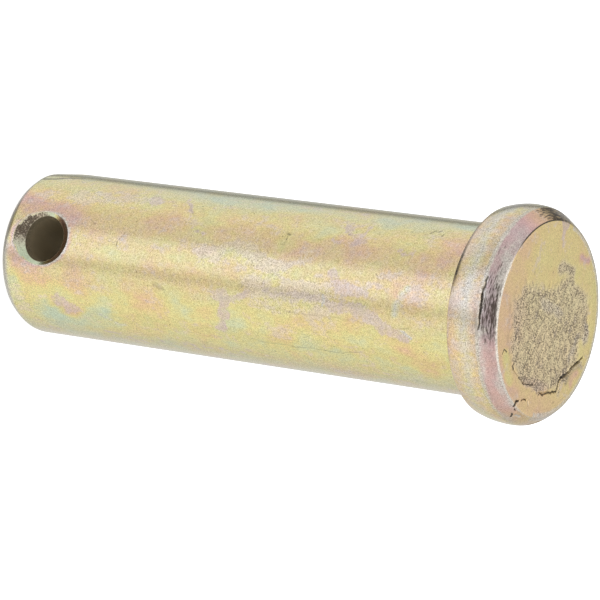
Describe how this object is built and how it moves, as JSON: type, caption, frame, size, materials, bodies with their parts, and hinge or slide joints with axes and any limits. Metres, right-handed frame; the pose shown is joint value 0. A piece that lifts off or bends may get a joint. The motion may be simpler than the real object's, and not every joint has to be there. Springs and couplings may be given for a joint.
{
  "type": "clevis pin",
  "caption": "Straight headed clevis pin of yellow-plated steel, with a bevelled head, a chamfered point and a countersunk cross hole for a split pin.",
  "frame": {"origin": "centre of the head's bearing face, on the pin's axis", "axes": "+Z along the pin, from the point up through the head; the shank hangs down -Z; the cross hole runs along Y"},
  "size_m": [0.0158, 0.0158, 0.0452],
  "materials": {
    "yellow_zinc": "yellow chromate over zinc plating, satin, with pink, violet and green tints"
  },
  "bodies": {
    "root": {"clevis_pin": "yellow_zinc"}
  },
  "joints": []
}
